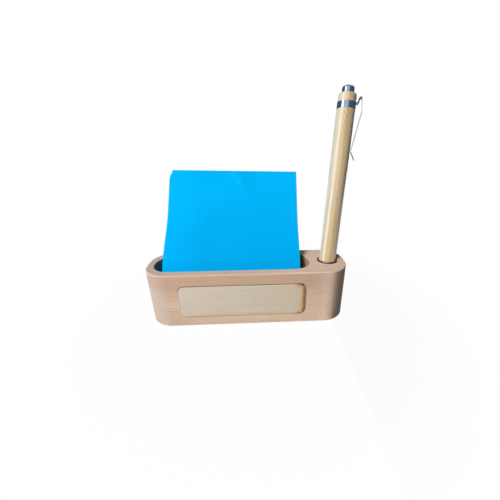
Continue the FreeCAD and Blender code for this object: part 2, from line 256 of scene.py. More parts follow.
class Finish:
    """The nodes of one procedural material, or of the sky."""

    def __init__(self, owner):
        owner.use_nodes = True
        self.owner = owner
        self.tree = owner.node_tree
        self.tree.nodes.clear()

    def node(self, kind, settings, values, output=0):
        made = self.tree.nodes.new(kind)
        for key, setting in settings.items():
            setattr(made, key, setting)
        for key, value in values.items():
            socket = made.inputs[key]
            if isinstance(value, Signal):
                self.tree.links.new(value.socket, socket)
            elif socket.type == "RGBA":
                socket.default_value = (*value, 1.0)
            else:
                socket.default_value = value
        return Signal(self, made.outputs[output]) if made.outputs else None

    def place(self, own_frame=None):
        """Object coordinates in metres, in a frame of the piece's own if one is given."""
        place = self.node("ShaderNodeTexCoord", {}, {}, "Object")
        if own_frame is None:
            return place
        return self.node(
            "ShaderNodeMapping", {"vector_type": "TEXTURE"},
            {"Vector": place, "Location": own_frame.to_translation(),
             "Rotation": own_frame.to_euler()})

    def noise(self, place, scale=1.0, detail=3.0, roughness=0.5, distortion=0.0):
        return self.node(
            "ShaderNodeTexNoise", {},
            {"Vector": place, "Scale": scale, "Detail": detail, "Roughness": roughness,
             "Distortion": distortion})

    def cells(self, place, scale=1.0):
        """Distance to the nearest of many scattered points."""
        return self.node("ShaderNodeTexVoronoi", {}, {"Vector": place, "Scale": scale}, "Distance")

    def blend(self, mask, first, second):
        return self.node(
            "ShaderNodeMix", {"data_type": "RGBA"}, {0: mask, 6: first, 7: second}, 2)

    def layers(self, base, *layers):
        """Lays colours over a base in turn, each where its mask is above 0."""
        for mask, shade in layers:
            base = self.blend(mask, base, shade)
        return base

    def bump(self, height, depth):
        return self.node(
            "ShaderNodeBump", {}, {"Height": height, "Distance": depth, "Strength": 1.0})

    def surface(self, base, roughness, normal, **constants):
        values = {"Base Color": base, "Roughness": roughness, "Normal": normal}
        values.update({key.replace("_", " "): value for key, value in constants.items()})
        return self.output(self.node("ShaderNodeBsdfPrincipled", {}, values))

    def output(self, shader, kind="ShaderNodeOutputMaterial"):
        self.node(kind, {}, {"Surface": shader})
        return self.owner


def new_finish(name):
    return Finish(bpy.data.materials.new(name))


def shaded(colour_value, share):
    return tuple(channel * share for channel in colour_value)


# ---- Finishes ---------------------------------------------------------------------------------

BEECH_FIBRE = (0.37, 0.235, 0.160)
BEECH_PORE = (0.40, 0.26, 0.18)
BEECH_FLECK = (0.80, 0.66, 0.54)
BEECH_PATCH = (0.60, 0.40, 0.29)
# The next six colours are painted light and shade: a sheen on the left end, a lighter shoulder,
# shade on the right end, a lighter top, a shade band along the top of the sides, and a highlight
# along the top edges that also colours the real nicks.
BEECH_LEFT_SHEEN = (0.455, 0.385, 0.33)
BEECH_SHOULDER_LIGHT = (0.72, 0.54, 0.41)
BEECH_RIGHT_SHADE = (0.29, 0.20, 0.145)
BEECH_TOP_LIGHT = (0.78, 0.59, 0.46)
BEECH_BAND_SHADE = (0.45, 0.285, 0.19)
BEECH_RIM_HIGHLIGHT_AND_NICKS = (0.86, 0.74, 0.63)

# Where the block's tone changes, in millimetres from its top, left or right face: none at the first
# distance of a pair, all at the second. Besides the nicks, these place painted light and shade: a
# highlight along the top edges, a sheen on the left end, a lighter shoulder and shade at the right
# end, a lighter top and a shade band.
BELOW_TOP = (0.4, 0.8)
EDGE_ABOVE = (0.2, 0.4)
EDGE_BELOW = (0.9, 0.6)
NICKED = (2.5, 0.2)
LEFT_END = (15.5, 10.5)
RIGHT_END = (11.5, 6.5)
SHOULDER_LEFT = (21.0, 14.0)
SHOULDER_RIGHT = (9.0, 12.0)
BAND_ABOVE = (0.8, 1.6)
BAND_BELOW = (13.5, 8.0)
BAND_RIGHT = (15.0, 27.0)
TOP_PALING = (85.0, 15.0)


def beech(colours):
    """Planed beech with its grain along X, pale flecks, slightly nicked edges, and painted
    highlights and shade.
    """
    finish = new_finish("beech")
    place = finish.place()
    low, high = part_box("holder_body")
    from_left = (place.part("X") - low.x) / MM
    from_right = (high.x - place.part("X")) / MM
    down = (high.z - place.part("Z")) / MM
    bands = finish.noise(place.stretched(6, 90, 90), detail=4.0, distortion=0.6)
    fibres = finish.noise(place.stretched(45, 1500, 1500))
    pores = finish.noise(place.stretched(160, 5200, 5200), detail=2.0)
    flecks = finish.cells(place.stretched(330, 2300, 1300)).step(0.34, 0.16)
    flecks = flecks * finish.noise(place.stretched(60, 240, 240)).step(0.46, 0.62)
    patches = finish.noise(place.stretched(14, 30, 30), detail=2.0).step(0.35, 0.7)
    nicks = finish.cells(place.stretched(420, 900, 900)).step(0.30, 0.14)
    nicks = nicks * finish.noise(place.stretched(70, 70, 70)).step(0.48, 0.60)
    nicks = nicks * down.step(*NICKED)
    side = down.step(*BELOW_TOP)
    # Painted highlight: edge paints a thin lighter line along the top edges; the nicks are real
    # chips.
    edge = down.step(*EDGE_BELOW) * down.step(*EDGE_ABOVE)
    # Painted sheen: the left end is painted paler and greyer.
    left_sheen = from_left.step(*LEFT_END)
    # Painted shade: the sides are painted darker towards the right end.
    right_shade = from_right.step(*RIGHT_END) * side
    # Painted light: the sides are painted lighter just before the shaded right end.
    shoulder_light = from_right.step(*SHOULDER_LEFT) * from_right.step(*SHOULDER_RIGHT) * side
    # Painted shade: a darker band along the top of the sides, short of the right end.
    band_shade = down.step(*BAND_BELOW) * down.step(*BAND_ABOVE) * from_right.step(*BAND_RIGHT)
    wood = finish.layers(
        colours.beech,
        (bands.step(0.3, 0.72), colours.beech_pale),
        (fibres.step(0.35, 0.75) * 0.40, BEECH_FIBRE),
        (pores.step(0.4, 0.8) * 0.30, BEECH_PORE),
        (flecks * 0.36, BEECH_FLECK),
        (patches * 0.16, BEECH_PATCH),
        (left_sheen * 0.6, BEECH_LEFT_SHEEN),
        (shoulder_light * 0.5, BEECH_SHOULDER_LIGHT),
        (right_shade * 0.85, BEECH_RIGHT_SHADE),
        # Painted light: the top face is painted lighter towards the right end.
        ((1.0 - side) * from_right.step(*TOP_PALING) * 0.3, BEECH_TOP_LIGHT),
        (band_shade * (0.35 + 0.3 * bands), BEECH_BAND_SHADE),
        ((edge * (0.12 + 0.3 * patches)).most(nicks * 0.7), BEECH_RIM_HIGHLIGHT_AND_NICKS))
    relief = fibres * 0.6 + pores * 0.5 - flecks * 0.3 - nicks * 0.8
    return finish.surface(
        wood, 0.52 + 0.16 * fibres - 0.08 * flecks, finish.bump(relief, 0.07 * MM),
        Specular_IOR_Level=0.4)


PAPER_SPECK = (0.0, 0.54, 1.0)
PAPER_TOP_SLIP_LIGHT = (0.0, 0.56, 1.0)
PAPER_FOOT_SHADE = (0.0, 0.30, 0.66)
PAPER_LEFT_LIGHT = (0.0, 0.47, 0.98)

# Where the paper's painted shade and painted light change, in millimetres up a slip and to the right
# of its middle.
FOOT_SHADE_REACH = (84.0, 30.0)
LEFT_LIGHT_REACH = (-16.0, -46.0)


def memo_paper(colours, name, lift):
    """Uncoated coloured paper with soft fibres; painted shade towards its foot, painted light at its
    left and by its lift.
    """
    finish = new_finish(name)
    place = finish.place(PAD_FRAME)
    across = place.part("X") / MM
    up = place.part("Z") / MM
    clouds = finish.noise(place, scale=38.0).step(0.3, 0.72)
    fibres = finish.noise(place, scale=2400.0, detail=2.0)
    specks = finish.noise(place.stretched(900, 900, 900), detail=4.0, roughness=0.7)
    sheet = finish.layers(
        colours.paper,
        (clouds * 0.6, shaded(colours.paper, 0.90)),
        (specks.step(0.45, 0.8) * 0.10, PAPER_SPECK),
        # Painted light: a lift above 0 paints the whole sheet lighter.
        (lift, PAPER_TOP_SLIP_LIGHT),
        # Painted shade: the slip is painted darker towards its foot.
        (up.step(*FOOT_SHADE_REACH) * 0.48, PAPER_FOOT_SHADE),
        # Painted light: the slip is painted paler towards its left edge.
        (across.step(*LEFT_LIGHT_REACH) * 0.35, PAPER_LEFT_LIGHT))
    return finish.surface(
        sheet, 0.78 + 0.12 * fibres, finish.bump(fibres + specks * 0.6, 0.02 * MM),
        Specular_IOR_Level=0.05)


BIRCH_GRAIN = (0.53, 0.43, 0.31)
BIRCH_STREAK = (0.70, 0.60, 0.47)
BIRCH_PORE = (0.36, 0.26, 0.16)
BIRCH_RIGHT = (0.64, 0.52, 0.34)
BIRCH_CHAR_AND_GAP_SHADE = (0.30, 0.15, 0.055)

# How far the scorching of the plate reaches, in millimetres from its rim, its corners, its right
# end or its foot: none at the first distance of a pair, all at the second.
RIM_TOAST = (2.4, 0.4)
RIM_CHAR_AND_GAP_SHADE = (0.9, -0.2)
CORNER_TOAST = (7.0, 2.8)
END_FLANK = (8.0, 1.0)
FOOT_FLANK = (3.0, 0.5)
END_WARMTH = (34.0, 4.0)
SCORCH_WAVER = 1.6


def birch(colours, low, high):
    """Pale birch ply, laser cut, scorched along its right end and a little along its foot, where its
    charred rim is deepened with painted shade of the dark gap beside it.

    It takes the two corners of the plate's box."""
    finish = new_finish("birch_plate")
    place = finish.place()
    waver = finish.noise(place.stretched(120, 120, 120)) * SCORCH_WAVER
    left = (place.part("X") - low.x) / MM
    right = (high.x - place.part("X")) / MM
    under = (place.part("Z") - low.z) / MM
    over = (high.z - place.part("Z")) / MM
    rim = left.least(right).least(under).least(over) - waver
    corner = left.least(right) + under.least(over) - waver * 2.0
    grain = finish.noise(place.stretched(26, 700, 620), detail=4.0, distortion=0.4)
    streaks = finish.noise(place.stretched(60, 2600, 2600), detail=2.0)
    pores = finish.cells(place.stretched(420, 3000, 2600)).step(0.30, 0.12)
    blotches = finish.noise(place.stretched(330, 330, 330)).step(0.40, 0.66)
    flank = (right.step(*END_FLANK) + 0.35 * under.step(*FOOT_FLANK)).least(1.0)
    toast = rim.step(*RIM_TOAST) * (0.6 + 0.4 * blotches)
    toast = toast.most(corner.step(*CORNER_TOAST) * (0.25 + 0.5 * blotches)) * flank
    wood = finish.layers(
        colours.birch,
        (grain.step(0.36, 0.7) * 0.55, BIRCH_GRAIN),
        (streaks.step(0.45, 0.8) * 0.25, BIRCH_STREAK),
        (pores * 0.22, BIRCH_PORE),
        (right.step(*END_WARMTH) * 0.35, BIRCH_RIGHT),
        (toast * 0.9, colours.scorch),
        # Charred rim, deepened with painted shade of the dark gap beside the plate.
        (rim.step(*RIM_CHAR_AND_GAP_SHADE) * 0.75 * flank, BIRCH_CHAR_AND_GAP_SHADE))
    return finish.surface(
        wood, 0.56 + 0.14 * grain, finish.bump(grain * 0.5 + streaks - pores * 0.8, 0.06 * MM),
        Specular_IOR_Level=0.35)


FILM_CLEAR = (0.70, 0.66, 0.54)
FILM_CLOUDY = (0.58, 0.52, 0.40)


def adhesive_film():
    """Cloudy double-sided film behind the plate."""
    finish = new_finish("adhesive_film")
    place = finish.place()
    clouds = finish.noise(place, scale=260.0)
    bubbles = finish.cells(place, scale=700.0).step(0.30, 0.05)
    return finish.surface(
        finish.blend(clouds, FILM_CLEAR, FILM_CLOUDY), 0.30 + 0.25 * clouds,
        finish.bump(bubbles + clouds * 0.4, 0.03 * MM))


BAMBOO_BAND = (0.59, 0.485, 0.33)
BAMBOO_WARM = (0.60, 0.40, 0.19)
BAMBOO_LIT_SIDE = (0.68, 0.63, 0.49)
BAMBOO_RIM_LIGHT = (0.92, 0.89, 0.76)
BAMBOO_FIBRE = (0.34, 0.19, 0.08)
BAMBOO_DASH = (0.28, 0.15, 0.06)
BAMBOO_RING = (0.50, 0.33, 0.17)
BAMBOO_CHEVRON = (0.40, 0.26, 0.13)

# Where finishes change on the pen, in millimetres: none at the first place of a pair, all at the
# second. These are heights above the mouth of the nose.
COLLAR = (119.0, 120.0)
FLAME = (100.0, 112.0)
BELOW_RING = (118.5, 117.8)
# The next three place painted shade on the clip's bends.
HAIRPIN = (122.6, 124.0)
CLIP_ROOT = (119.8, 120.6)
CLIP_KICK = (94.0, 92.8)

# These are distances from the pen's axis towards the clip.
GOLD_LEFT = (0.2, 1.4)
GOLD_RIGHT = (3.6, 1.8)
# The next two place painted light on the barrel's left side and a painted rim light at its edge.
LIT_SIDE_REACH = (-0.2, -3.0)
RIM_LIGHT_REACH = (-4.2, -5.4)
ROOT_FLAT = (9.0, 8.4)

FRONT_HALF = (1.0, -1.0)  # Distances behind the axis.

# The chevrons are waves that point up the barrel. They have a middle line, that far from the axis
# towards the clip, a reach to either side of it, and so many radians for each millimetre.
CHEVRON_MIDDLE = 1.2
CHEVRON_REACH = (3.6, 1.2)
CHEVRON_UP = 1.5
CHEVRON_SIDEWAYS = 3.6


def bamboo(colours):
    """Lacquered bamboo: long fibres, a gold streak, a calmer collar, and painted light on its left
    side with a painted rim light at its far left edge.
    """
    finish = new_finish("lacquered_bamboo")
    place = finish.place(PEN_FRAME)
    across = place.part("X") / MM
    behind = place.part("Y") / MM
    up = place.part("Z") / MM
    wander = finish.noise(place.stretched(70, 70, 9), detail=2.0) * 0.9
    bands = finish.noise(place.stretched(330, 330, 5).shifted(0, 0, 0.7), distortion=0.25)
    patches = finish.noise(place.stretched(160, 160, 34).shifted(2, 0, 0)).step(0.34, 0.60)
    streaks = finish.noise(place.stretched(1300, 1300, 22))
    fibres = finish.noise(place.stretched(4200, 4200, 90), detail=2.0)
    dashes = finish.cells(place.stretched(2100, 2100, 130)).step(0.34, 0.10)
    rings = finish.noise(place.stretched(60, 60, 1300), detail=2.0).step(0.40, 0.70)
    side = across + (wander - 0.45) * 3.5
    gold = (0.45 + 0.55 * patches) * side.step(*GOLD_LEFT) * side.step(*GOLD_RIGHT)
    gold = gold * behind.step(*FRONT_HALF)
    collar = up.step(*COLLAR)
    calm = 1.0 - 0.75 * collar
    off_middle = abs(side - CHEVRON_MIDDLE)
    wave = up * CHEVRON_UP - off_middle * CHEVRON_SIDEWAYS + (wander + bands) * 5.0
    chevrons = wave.sine().step(0.3, 0.9) * off_middle.step(*CHEVRON_REACH)
    flame = (up + (bands - 0.5) * 30.0).step(*FLAME) * up.step(*BELOW_RING)
    wood = finish.layers(
        colours.bamboo,
        (bands.step(0.34, 0.66), BAMBOO_BAND),
        ((wander * bands).step(0.16, 0.34) * 0.35, BAMBOO_WARM),
        (gold * 0.95, colours.bamboo_gold),
        # Painted light: the side away from the clip is painted paler.
        (side.step(*LIT_SIDE_REACH) * 0.65, BAMBOO_LIT_SIDE),
        # Painted rim light: the far edge away from the clip is painted cream.
        (across.step(*RIM_LIGHT_REACH) * 0.8, BAMBOO_RIM_LIGHT),
        (streaks.step(0.46, 0.78) * 0.55 * calm, colours.bamboo_dark),
        (fibres.step(0.48, 0.85) * 0.28 * calm, BAMBOO_FIBRE),
        (dashes * 0.24 * calm, BAMBOO_DASH),
        (rings * collar * 0.28, BAMBOO_RING),
        (flame * chevrons * 0.75, BAMBOO_CHEVRON))
    relief = streaks * 0.5 + fibres * 0.4 - dashes * 0.4
    return finish.surface(
        wood, 0.42 + 0.16 * streaks, finish.bump(relief, 0.04 * MM),
        Specular_IOR_Level=0.2, Coat_Weight=1.0, Coat_IOR=1.55, Coat_Roughness=0.06)


STEEL = (0.62, 0.63, 0.66)
CLIP_BEND_SHADE = (0.012, 0.014, 0.018)


def bright_metal(name, tint, grain, roughness, bend_shade=0.0):
    """Plated metal with fine turning marks round the pen and a few soft smudges.

    Painted shade and painted dark reflection make the clip's root, its hairpin and its kicked-out
    end nearly black and less metallic."""
    finish = new_finish(name)
    place = finish.place(PEN_FRAME)
    turning = finish.noise(place.stretched(120, 120, 9000), detail=2.0)
    smudges = finish.noise(place, scale=210.0).step(0.40, 0.75)
    scratches = finish.noise(place.stretched(2600, 2600, 160), detail=2.0).step(0.62, 0.72)
    metal = finish.blend(smudges * 0.5 + scratches * 0.25, tint, shaded(tint, 0.86))
    metallic_share = 1.0
    if bend_shade:
        across = place.part("X") / MM
        up = place.part("Z") / MM
        root = up.step(*CLIP_ROOT) * across.step(*ROOT_FLAT)
        # Painted shade: the clip's bends are painted nearly black.
        dark = up.step(*HAIRPIN).most(root).most(up.step(*CLIP_KICK)) * bend_shade
        metal = finish.blend(dark, metal, CLIP_BEND_SHADE)
        metallic_share = 1.0 - dark
    return finish.surface(
        metal, roughness + 0.10 * smudges + 0.07 * turning,
        finish.bump(turning * grain + scratches * 0.3, 0.008 * MM), Metallic=metallic_share)


CAM_GREY = (0.055, 0.055, 0.06)
REFILL_CLEAR = (0.80, 0.84, 0.86)


def moulded_plastic(name, body, glow, roughness):
    """Moulded plastic with flow marks and a fine mould texture."""
    finish = new_finish(name)
    place = finish.place(PEN_FRAME)
    flow = finish.noise(place.stretched(160, 160, 60), distortion=0.8)
    texture = finish.noise(place, scale=5200.0, detail=2.0)
    return finish.surface(
        finish.blend(flow.step(0.3, 0.7), body, shaded(body, 0.84)), roughness + 0.12 * texture,
        finish.bump(texture + flow * 0.5, 0.01 * MM),
        Subsurface_Weight=glow, Subsurface_Radius=(MM, MM, MM))


# ---- Modelling helpers ------------------------------------------------------------------------

def clear_selection():
    bpy.ops.object.select_all(action="DESELECT")


def select_only(piece):
    clear_selection()
    piece.select_set(True)
    bpy.context.view_layer.objects.active = piece


def select_faces(piece, wanted):
    """In edit mode, selects the faces whose centre passes the test."""
    pick(piece, "FACE", lambda face: wanted(face.calc_center_median()))


def select_edges(piece, wanted):
    """In edit mode, selects the edges whose two ends pass the test."""
    pick(piece, "EDGE", lambda edge: wanted(edge.verts[0].co, edge.verts[1].co))


def select_points(piece, wanted):
    """In edit mode, selects the points that pass the test."""
    pick(piece, "VERT", lambda point: wanted(point.co))


def pick(piece, kind, wanted):
    bpy.ops.mesh.select_mode(type=kind)
    bpy.ops.mesh.select_all(action="DESELECT")
    mesh = bmesh.from_edit_mesh(piece.data)
    for member in {"FACE": mesh.faces, "EDGE": mesh.edges, "VERT": mesh.verts}[kind]:
        if wanted(member):
            member.select_set(True)
    mesh.select_flush_mode()
    bmesh.update_edit_mesh(piece.data)


def put_in_place(piece, own_frame):
    """Moves a piece made in its own frame to its place and leaves its object at the origin."""
    select_only(piece)
    piece.matrix_world = own_frame
    bpy.ops.object.transform_apply(location=True, rotation=True, scale=True)


def smooth(piece, degrees):
    select_only(piece)
    bpy.ops.object.shade_smooth_by_angle(angle=math.radians(degrees))


def begin(name, size):
    """Names and sizes the primitive that was just added, and leaves it in edit mode."""
    piece = bpy.context.object
    piece.name = name
    piece.scale = size
    bpy.ops.object.transform_apply(location=True, rotation=True, scale=True)
    bpy.ops.object.mode_set(mode="EDIT")
    return piece


def add_block(name, centre, size):
    """A box of that size, left in edit mode."""
    clear_selection()
    bpy.ops.mesh.primitive_cube_add(size=1.0, location=centre)
    return begin(name, size)


def dress(node, material):
    """Gives a CAD node its finish."""
    piece = frame["nodes"][node]
    if not piece.material_slots:
        piece.data.materials.append(material)
    for slot in piece.material_slots:
        slot.material = material


def finish_piece(piece, material, body, node):
    """Gives a new piece its finish and its body, and hides the CAD node that it takes the place of.
    """
    piece.data.materials.append(material)
    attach(piece, body)
    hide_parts(node)


# ---- Memo slips -------------------------------------------------------------------------------

ALONG = Vector((1, 0, 0))
UP = Vector((0, 0, 1))

SHEET_CORNER = 0.3 * MM
SHEET_SHARE = 0.93  # Of the stack's pitch, so that a hair's breadth of air shows between sheets.
TOP_SLIP_GAP = 0.1 * MM
TOP_SLIP_CUTS = 30
DOG_EAR_SLOPE = 0.36

# The swell of the top slip, by shares of its height and of its depth.
BELLY_AT = 0.22
FLAT_FROM = 0.68
SWELL_AT_FOOT = 0.42

# The pinch is deepest at its foot and fades from there, up the slip and to either side.
PINCH_ACROSS = 6.3 * MM
PINCH_DROP = 8.0 * MM  # From the top edge down to the foot of the pinch.
PINCH_PITCH = 1.5 * MM
PINCH_COLUMNS = range(-6, 11)
PINCH_ROWS = range(-7, 5)
PINCH_MARGIN = 0.5 * MM
PINCH_BELOW = 12.0 * MM
CREASE_OFFSET = 1.0 * MM
CREASE_LEAN = 5.0 * MM
STEEP_REACH = (3.0 * MM, 2.2 * MM)  # At the foot, and added towards the top edge.
GENTLE_REACH = (10.5 * MM, 4.5 * MM)
FADE_UP = 0.25
FADE_DOWN = 1.6
LEAST_PUSH = 0.001  # Share of the pinch's depth below which a point stays where it is.
SAME_SPOT = 0.002 * MM
SPOT_DECIMALS = 6


def add_sheet(name, size, depth, front, cuts):
    """A square sheet in the pad's frame, its front face that far before the pad's back."""
    sheet = add_block(name, (0, depth / 2 - front, size / 2), (size, depth, size))
    select_edges(sheet, lambda a, b: abs(a.y - b.y) > depth / 2)
    bpy.ops.mesh.bevel(offset=SHEET_CORNER, segments=2, affect="EDGES")
    for count in range(1, cuts):
        cut_through((count / cuts - 0.5) * size, ALONG)
    for count in range(1, cuts):
        cut_through(count / cuts * size, UP)
    bpy.ops.object.mode_set(mode="OBJECT")
    return sheet


def cut_through(distance, direction):
    """In edit mode, cuts the whole mesh square to a direction, that far along it."""
    bpy.ops.mesh.select_all(action="SELECT")
    bpy.ops.mesh.bisect(plane_co=distance * direction, plane_no=direction)


def knock_corner(sheet, slips):
    """Cuts the upper left corner off a sheet, as where a pad has been knocked."""
    select_only(sheet)
    bpy.ops.object.mode_set(mode="EDIT")
    bpy.ops.mesh.select_all(action="SELECT")
    bpy.ops.mesh.bisect(
        plane_co=(-slips.width / 2, 0, slips.width - slips.dog_ear),
        plane_no=(-1, 0, DOG_EAR_SLOPE), use_fill=True, clear_outer=True)
    bpy.ops.object.mode_set(mode="OBJECT")


def swell_at(share):
    """Share of the top slip's bow at a share of its height: a belly low down, flat above."""
    if share < BELLY_AT:
        return SWELL_AT_FOOT + (1 - SWELL_AT_FOOT) * math.sin(share / BELLY_AT * math.pi / 2)
    if share > FLAT_FROM:
        return 0.0
    return 0.5 + 0.5 * math.cos((share - BELLY_AT) / (FLAT_FROM - BELLY_AT) * math.pi)


def swell_slip(slip, slips):
    """Bows the slip forward row by row, and lowers each row so that the paper keeps its length."""
    bpy.ops.object.mode_set(mode="EDIT")
    pitch = slips.width / TOP_SLIP_CUTS
    drop = 0.0
    below = swell_at(0.0) * slips.bow
    for row in range(TOP_SLIP_CUTS + 1):
        height = row * pitch
        out = swell_at(height / slips.width) * slips.bow
        drop += pitch - math.sqrt(pitch ** 2 - (out - below) ** 2)
        below = out
        select_points(slip, lambda point: abs(point.z - height) < pitch / 2 - NEAR)
        bpy.ops.transform.translate(value=(0, -out, -drop))
    bpy.ops.object.mode_set(mode="OBJECT")


def cut_pinch_grid(slip, foot):
    """In edit mode, cuts the slip into small squares round the foot of the pinch."""
    left = PINCH_COLUMNS[0] * PINCH_PITCH - PINCH_MARGIN
    right = PINCH_COLUMNS[-1] * PINCH_PITCH + PINCH_MARGIN
    for count in PINCH_COLUMNS:
        select_faces(slip, lambda centre: centre.z > foot.z - PINCH_BELOW)
        bpy.ops.mesh.bisect(plane_co=(foot.x + count * PINCH_PITCH, 0, 0), plane_no=ALONG)
    for count in PINCH_ROWS:
        select_faces(slip, lambda centre: left < centre.x - foot.x < right
                     and centre.z > foot.z - PINCH_BELOW)
        bpy.ops.mesh.bisect(plane_co=(0, 0, foot.z + count * PINCH_PITCH), plane_no=UP)


def pinch_depth(across, up):
    """Share of the pinch's depth, that far from its foot: steep on its left, gentle on its right."""
    rise = up / PINCH_DROP
    risen = max(rise, 0.0)
    away = across + CREASE_OFFSET + CREASE_LEAN * risen
    at_foot, more = STEEP_REACH if away < 0 else GENTLE_REACH
    reach = at_foot + more * risen
    if abs(away) >= reach:
        return 0.0
    return (1 - abs(away) / reach) * (1 - FADE_UP * rise if rise > 0 else 1 + FADE_DOWN * rise)


def pinch_slip(slip, slips):
    """Pushes a low pinch forward below the middle of the slip's top edge."""
    foot = Vector((PINCH_ACROSS, 0, slips.width - PINCH_DROP))
    bpy.ops.object.mode_set(mode="EDIT")
    cut_pinch_grid(slip, foot)
    mesh = bmesh.from_edit_mesh(slip.data)
    spots = {(round(point.co.x, SPOT_DECIMALS), round(point.co.z, SPOT_DECIMALS))
             for point in mesh.verts}
    for x, z in sorted(spots):
        share = pinch_depth(x - foot.x, z - foot.z)
        if share > LEAST_PUSH:
            select_points(slip, lambda point: max(abs(point.x - x), abs(point.z - z)) < SAME_SPOT)
            bpy.ops.transform.translate(value=(0, -slips.pinch * share, 0))
    bpy.ops.object.mode_set(mode="OBJECT")


# ---- Pieces -----------------------------------------------------------------------------------

class HOLDER_OT_block(bpy.types.Operator):
    """Finish the beech block"""

    bl_idname = "memo_holder.block"
    bl_label = "Beech Block"

    def execute(self, context):
        dress("holder_body", beech(context.scene.memo_holder.colours))
        return {"FINISHED"}


class HOLDER_OT_stack(bpy.types.Operator):
    """Build the stack of memo slips sheet by sheet"""

    bl_idname = "memo_holder.stack"
    bl_label = "Memo Stack"

    def execute(self, context):
        settings = context.scene.memo_holder
        slips = settings.slips
        pitch = slips.pad_depth / slips.sheets
        front = pitch * (1 + SHEET_SHARE) / 2
        stray = random.Random(7)
        pattern = add_sheet("memo_stack", slips.width, pitch * SHEET_SHARE, front, 0)
        knock_corner(pattern, slips)
        copies = [pattern]
        for count in range(1, slips.sheets):
            copy = pattern.copy()
            copy.data = pattern.data.copy()
            context.collection.objects.link(copy)
            copy.location = (
                stray.uniform(-1, 1) * slips.stray, -count * pitch,
                stray.uniform(0, 1) * slips.stray)
            copies.append(copy)
        select_only(pattern)
        for copy in copies:
            copy.select_set(True)
        bpy.ops.object.join()
        put_in_place(pattern, PAD_FRAME)
        finish_piece(pattern, memo_paper(settings.colours, "memo_stack_paper", 0.0),
                     "memo_pad", "slip_stack")
        return {"FINISHED"}


class HOLDER_OT_top_slip(bpy.types.Operator):
    """Build the loose top slip with its swell, its pinch and its knocked corner"""

    bl_idname = "memo_holder.top_slip"
    bl_label = "Top Slip"

    def execute(self, context):
        settings = context.scene.memo_holder
        slips = settings.slips
        front = slips.pad_depth + TOP_SLIP_GAP + slips.slip_depth
        slip = add_sheet("top_slip", slips.width, slips.slip_depth, front, TOP_SLIP_CUTS)
        knock_corner(slip, slips)
        swell_slip(slip, slips)
        pinch_slip(slip, slips)
        smooth(slip, degrees=40)
        put_in_place(slip, PAD_FRAME)
        # The top slip's paper is painted lighter than the stack's.
        finish_piece(slip, memo_paper(settings.colours, "top_slip_paper", 0.10),
                     "top_slip", "front_slip")
        return {"FINISHED"}


class HOLDER_OT_plate(bpy.types.Operator):
    """Build the name plate and finish its adhesive film"""

    bl_idname = "memo_holder.plate"
    bl_label = "Name Plate"

    def execute(self, context):
        settings = context.scene.memo_holder
        low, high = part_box("nameplate")
        high.x -= settings.plate.gap
        plate = add_block("birch_plate", (low + high) / 2, high - low)
        select_edges(plate, lambda a, b: abs(a.y - b.y) > (high.y - low.y) / 2)
        bpy.ops.mesh.bevel(offset=settings.plate.corner, segments=10, affect="EDGES")
        select_edges(plate, lambda a, b: max(a.y, b.y) < low.y + NEAR)
        bpy.ops.mesh.bevel(offset=settings.plate.ease, segments=3, affect="EDGES")
        bpy.ops.object.mode_set(mode="OBJECT")
        smooth(plate, degrees=35)
        finish_piece(plate, birch(settings.colours, low, high),
                     "holder", "nameplate")
        dress("nameplate_film", adhesive_film())
        return {"FINISHED"}


class HOLDER_OT_pen(bpy.types.Operator):
    """Finish the pen's bamboo, bright metal and working parts"""

    bl_idname = "memo_holder.pen"
    bl_label = "Click Pen"

    def execute(self, context):
        colours = context.scene.memo_holder.colours
        finishes = {
            bamboo(colours): ("pen_barrel", "pen_collar"),
            bright_metal("chrome", colours.chrome, 1.0, 0.10):
                ("nose_cone", "clip_ring", "push_button"),
            bright_metal("spring_chrome", colours.spring, 0.6, 0.14, bend_shade=0.96):
                ("pocket_clip",),
            bright_metal("brass", colours.brass, 1.4, 0.26):
                ("nose_insert", "top_insert", "refill_tip"),
            bright_metal("steel", STEEL, 0.8, 0.22): ("writing_ball", "refill_spring"),
            moulded_plastic("cam_plastic", CAM_GREY, 0.0, 0.34):
                ("cam_sleeve", "cam_plunger", "cam_rotor"),
            moulded_plastic("refill_plastic", REFILL_CLEAR, 0.25, 0.22): ("refill_tube",),
        }
        for material, nodes in finishes.items():
            for node in nodes:
                dress(node, material)
        return {"FINISHED"}


# ---- Stage ------------------------------------------------------------------------------------

FLOOR_RADIUS = 6.0
FLOOR_PALE = (0.79, 0.79, 0.79)
FLOOR_PALER = (0.82, 0.82, 0.82)
FLOOR_SHADE = 0.04  # Share of real shadow that the floor shows near the object.
FLOOR_SHADE_FADE = (80.0, 160.0)  # Millimetres from the middle.

KEY_PLACE = Vector((-1.27, -1.50, 1.97))
KEY_TARGET = Vector((0.0, 0.0, 0.05))
KEY_SIZE = (0.80, 1.30)

# A ring round the object has a radius and two bearings, in degrees from the front round by the
# right.
CLOTH_RING = (0.85, 14, 276)
CARD_RING = (0.83, 280, 306)
RING_HEIGHT = 0.75
CEILING_RADIUS = 1.0
CEILING_HEIGHT = 1.15
CEILING_GLOW = 2.4
CLOTH_DARK = (0.075, 0.11, 0.15)
CLOTH_LIGHT = (0.17, 0.22, 0.26)
CARD_COOL = (0.92, 0.95, 1.0)
WHITE = (1.0, 1.0, 1.0)

# The flag lies on the floor from under the block's right end, and stands up along its far edge.
FLAG_MIDDLE = (0.0730, 0.02, 0.0003)
FLAG_WIDTH = 0.034
FLAG_LENGTH = 0.36
FLAG_HEIGHT = 0.36
FLAG_GLOW = 0.05

CAMERA_PLACE = Vector((5.083, -174.846, 115.925)) * MM
CAMERA_YAW = 0.0610  # Radians, as the pitch and the roll are.
CAMERA_PITCH = 0.4530
CAMERA_ROLL = 0.0010
SENSOR_WIDTH = 36.0  # Millimetres, as the lens is.
RENDER_WIDTH = 500  # Pixels, as the next two are.
AXIS_RIGHT = 21.344  # From the middle of the render to the point that the lens looks at.
AXIS_DOWN = 19.403


